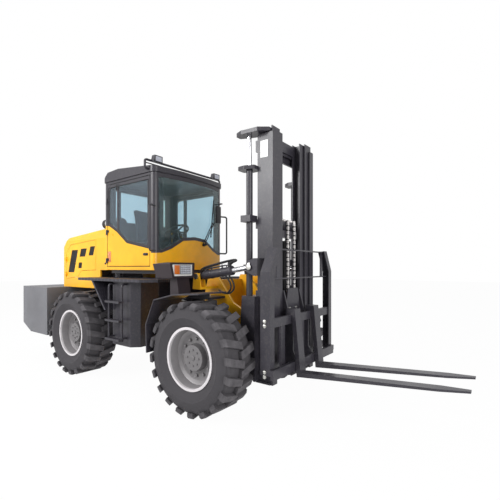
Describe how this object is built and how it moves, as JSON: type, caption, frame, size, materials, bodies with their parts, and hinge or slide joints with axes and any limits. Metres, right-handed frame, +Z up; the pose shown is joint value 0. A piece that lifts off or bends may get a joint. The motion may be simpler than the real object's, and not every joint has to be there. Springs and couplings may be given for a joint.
{
  "type": "rough terrain forklift",
  "caption": "Articulated rough terrain forklift with a cab, a three stage mast, a fork carriage and large lugged tyres.",
  "frame": {"origin": "on the ground under the middle of the whole machine's box", "axes": "+X forward along the forks, +Y to the machine's left, +Z up"},
  "size_m": [6.7032, 2.06, 3.035],
  "materials": {
    "yellow_paint": "gloss machine enamel",
    "dark_paint": "satin dark grey enamel",
    "weight_paint": "satin grey enamel on a casting",
    "axle_paint": "satin dark enamel on castings",
    "rim_paint": "silver enamel",
    "tyre_rubber": "dusty moulded rubber",
    "chrome_rod": "hard chrome rod",
    "steel_pin": "zinc plated pins",
    "chain_steel": "oiled leaf chain",
    "window_glass": "tinted flat and bowed glass",
    "lamp_glass": "clear lamp lens",
    "lamp_housing": "moulded housing",
    "black_plastic": "grained black plastic",
    "seat_cloth": "woven seat cloth"
  },
  "bodies": {
    "rear_chassis": {"rear_frame": "dark_paint", "rear_pins": "steel_pin", "counterweight": "weight_paint", "rear_axle": "axle_paint", "engine_block": "axle_paint", "hood": "yellow_paint", "rear_grille": "black_plastic", "air_cleaner": "dark_paint", "decks": "dark_paint", "side_tanks": "dark_paint", "ladders": "dark_paint", "cab_body": "yellow_paint", "cab_frame": "dark_paint", "cab_glass": "window_glass", "cab_base": "dark_paint", "cab_fittings": "black_plastic", "seat_cushions": "seat_cloth", "steering_wheel": "black_plastic", "light_bar": "dark_paint", "handrails": "dark_paint"},
    "front_chassis": {"front_frame": "yellow_paint", "front_axle": "axle_paint", "fenders": "dark_paint", "headlamp_housings": "lamp_housing", "headlamp_lenses": "lamp_glass", "front_pins": "steel_pin"},
    "wheel_front_right": {"tyre_front_right": "tyre_rubber", "rim_front_right": "rim_paint"},
    "wheel_rear_right": {"tyre_rear_right": "tyre_rubber", "rim_rear_right": "rim_paint"},
    "wheel_front_left": {"tyre_front_left": "tyre_rubber", "rim_front_left": "rim_paint"},
    "wheel_rear_left": {"tyre_rear_left": "tyre_rubber", "rim_rear_left": "rim_paint"},
    "door_right": {"door_panel_right": "yellow_paint", "door_frame_right": "dark_paint", "door_glass_right": "window_glass"},
    "hood_door_right": {"hood_door_right": "yellow_paint"},
    "door_left": {"door_panel_left": "yellow_paint", "door_frame_left": "dark_paint", "door_glass_left": "window_glass"},
    "hood_door_left": {"hood_door_left": "yellow_paint"},
    "steer_barrel_right": {"steer_barrel_right": "dark_paint"},
    "steer_rod_right": {"steer_rod_right": "chrome_rod"},
    "steer_barrel_left": {"steer_barrel_left": "dark_paint"},
    "steer_rod_left": {"steer_rod_left": "chrome_rod"},
    "tilt_barrels": {"tilt_barrels": "dark_paint"},
    "tilt_rods": {"tilt_rods": "chrome_rod"},
    "mast_outer": {"outer_mast": "dark_paint", "lift_barrels": "dark_paint"},
    "mast_middle": {"middle_mast": "dark_paint", "lift_rods": "chrome_rod"},
    "mast_inner": {"inner_mast": "dark_paint", "free_lift_barrel": "dark_paint"},
    "crosshead": {"crosshead": "dark_paint", "chains": "chain_steel"},
    "carriage": {"carriage": "dark_paint", "load_guard": "dark_paint"},
    "fork_right": {"fork_right": "dark_paint"},
    "fork_left": {"fork_left": "dark_paint"}
  },
  "joints": [
    {"name": "steering", "type": "hinge", "parent": "rear_chassis", "child": "front_chassis", "pos_m": [-0.29163, 0, 0.81], "axis": [0, 0, 1], "range_deg": [-30, 30]},
    {"name": "wheel_front_right_spin", "type": "hinge", "parent": "front_chassis", "child": "wheel_front_right", "pos_m": [0.92836, -0.815, 0.595], "axis": [0, 1, 0], "continuous": true},
    {"name": "wheel_rear_right_spin", "type": "hinge", "parent": "rear_chassis", "child": "wheel_rear_right", "pos_m": [-1.52164, -0.815, 0.595], "axis": [0, 1, 0], "continuous": true},
    {"name": "wheel_front_left_spin", "type": "hinge", "parent": "front_chassis", "child": "wheel_front_left", "pos_m": [0.92836, 0.815, 0.595], "axis": [0, 1, 0], "continuous": true},
    {"name": "wheel_rear_left_spin", "type": "hinge", "parent": "rear_chassis", "child": "wheel_rear_left", "pos_m": [-1.52164, 0.815, 0.595], "axis": [0, 1, 0], "continuous": true},
    {"name": "door_right_hinge", "type": "hinge", "parent": "rear_chassis", "child": "door_right", "pos_m": [-1.10864, -0.663, 2.15], "axis": [0, 0, 1], "range_deg": [-100, 0]},
    {"name": "hood_door_right_hinge", "type": "hinge", "parent": "rear_chassis", "child": "hood_door_right", "pos_m": [-2.46863, -0.593, 1.6], "axis": [0, 0, 1], "range_deg": [-110, 0]},
    {"name": "door_left_hinge", "type": "hinge", "parent": "rear_chassis", "child": "door_left", "pos_m": [-1.10864, 0.663, 2.15], "axis": [0, 0, 1], "range_deg": [0, 100]},
    {"name": "hood_door_left_hinge", "type": "hinge", "parent": "rear_chassis", "child": "hood_door_left", "pos_m": [-2.46863, 0.593, 1.6], "axis": [0, 0, 1], "range_deg": [0, 110]},
    {"name": "steer_barrel_right_hinge", "type": "hinge", "parent": "rear_chassis", "child": "steer_barrel_right", "pos_m": [-0.85164, -0.23, 0.81], "axis": [0, 0, 1], "range_deg": [-13, 13]},
    {"name": "steer_rod_right_slide", "type": "slide", "parent": "steer_barrel_right", "child": "steer_rod_right", "axis": [0.9992, -0.0411, 0], "range_m": [-0.15, 0.15]},
    {"name": "steer_barrel_left_hinge", "type": "hinge", "parent": "rear_chassis", "child": "steer_barrel_left", "pos_m": [-0.85164, 0.23, 0.81], "axis": [0, 0, 1], "range_deg": [-13, 13]},
    {"name": "steer_rod_left_slide", "type": "slide", "parent": "steer_barrel_left", "child": "steer_rod_left", "axis": [0.9992, 0.0411, 0], "range_m": [-0.15, 0.15]},
    {"name": "mast_tilt", "type": "hinge", "parent": "front_chassis", "child": "mast_outer", "pos_m": [1.32837, 0, 0.8], "axis": [0, 1, 0], "range_deg": [-12, 6]},
    {"name": "tilt_barrels_hinge", "type": "hinge", "parent": "front_chassis", "child": "tilt_barrels", "pos_m": [0.67836, 0, 1.44], "axis": [0, 1, 0], "range_deg": [-5, 5]},
    {"name": "tilt_rods_slide", "type": "slide", "parent": "tilt_barrels", "child": "tilt_rods", "axis": [0.9898, 0, 0.1421], "range_m": [-0.17, 0.09]},
    {"name": "mast_lift", "type": "slide", "parent": "mast_outer", "child": "mast_middle", "axis": [0, 0, 1], "range_m": [0, 1.5]},
    {"name": "inner_lift", "type": "slide", "parent": "mast_middle", "child": "mast_inner", "axis": [0, 0, 1], "range_m": [0, 1.5]},
    {"name": "free_lift", "type": "slide", "parent": "mast_inner", "child": "carriage", "axis": [0, 0, 1], "range_m": [0, 1.5]},
    {"name": "crosshead_slide", "type": "slide", "parent": "mast_inner", "child": "crosshead", "axis": [0, 0, 1], "range_m": [0, 0.75]},
    {"name": "fork_right_slide", "type": "slide", "parent": "carriage", "child": "fork_right", "axis": [0, 1, 0], "range_m": [-0.34, 0.12]},
    {"name": "fork_left_slide", "type": "slide", "parent": "carriage", "child": "fork_left", "axis": [0, 1, 0], "range_m": [-0.12, 0.34]}
  ],
  "couplings": [
    {"joint": "steer_barrel_right_hinge", "follows": "steering", "ratio": 0.2471},
    {"joint": "steer_rod_right_slide", "follows": "steering", "m_per_rad": 0.2528},
    {"joint": "steer_barrel_left_hinge", "follows": "steering", "ratio": 0.2471},
    {"joint": "steer_rod_left_slide", "follows": "steering", "m_per_rad": -0.2528},
    {"joint": "tilt_barrels_hinge", "follows": "mast_tilt", "ratio": 0.2861},
    {"joint": "tilt_rods_slide", "follows": "mast_tilt", "m_per_rad": 0.7259},
    {"joint": "inner_lift", "follows": "mast_lift", "ratio": 1},
    {"joint": "crosshead_slide", "follows": "free_lift", "ratio": 0.5}
  ]
}
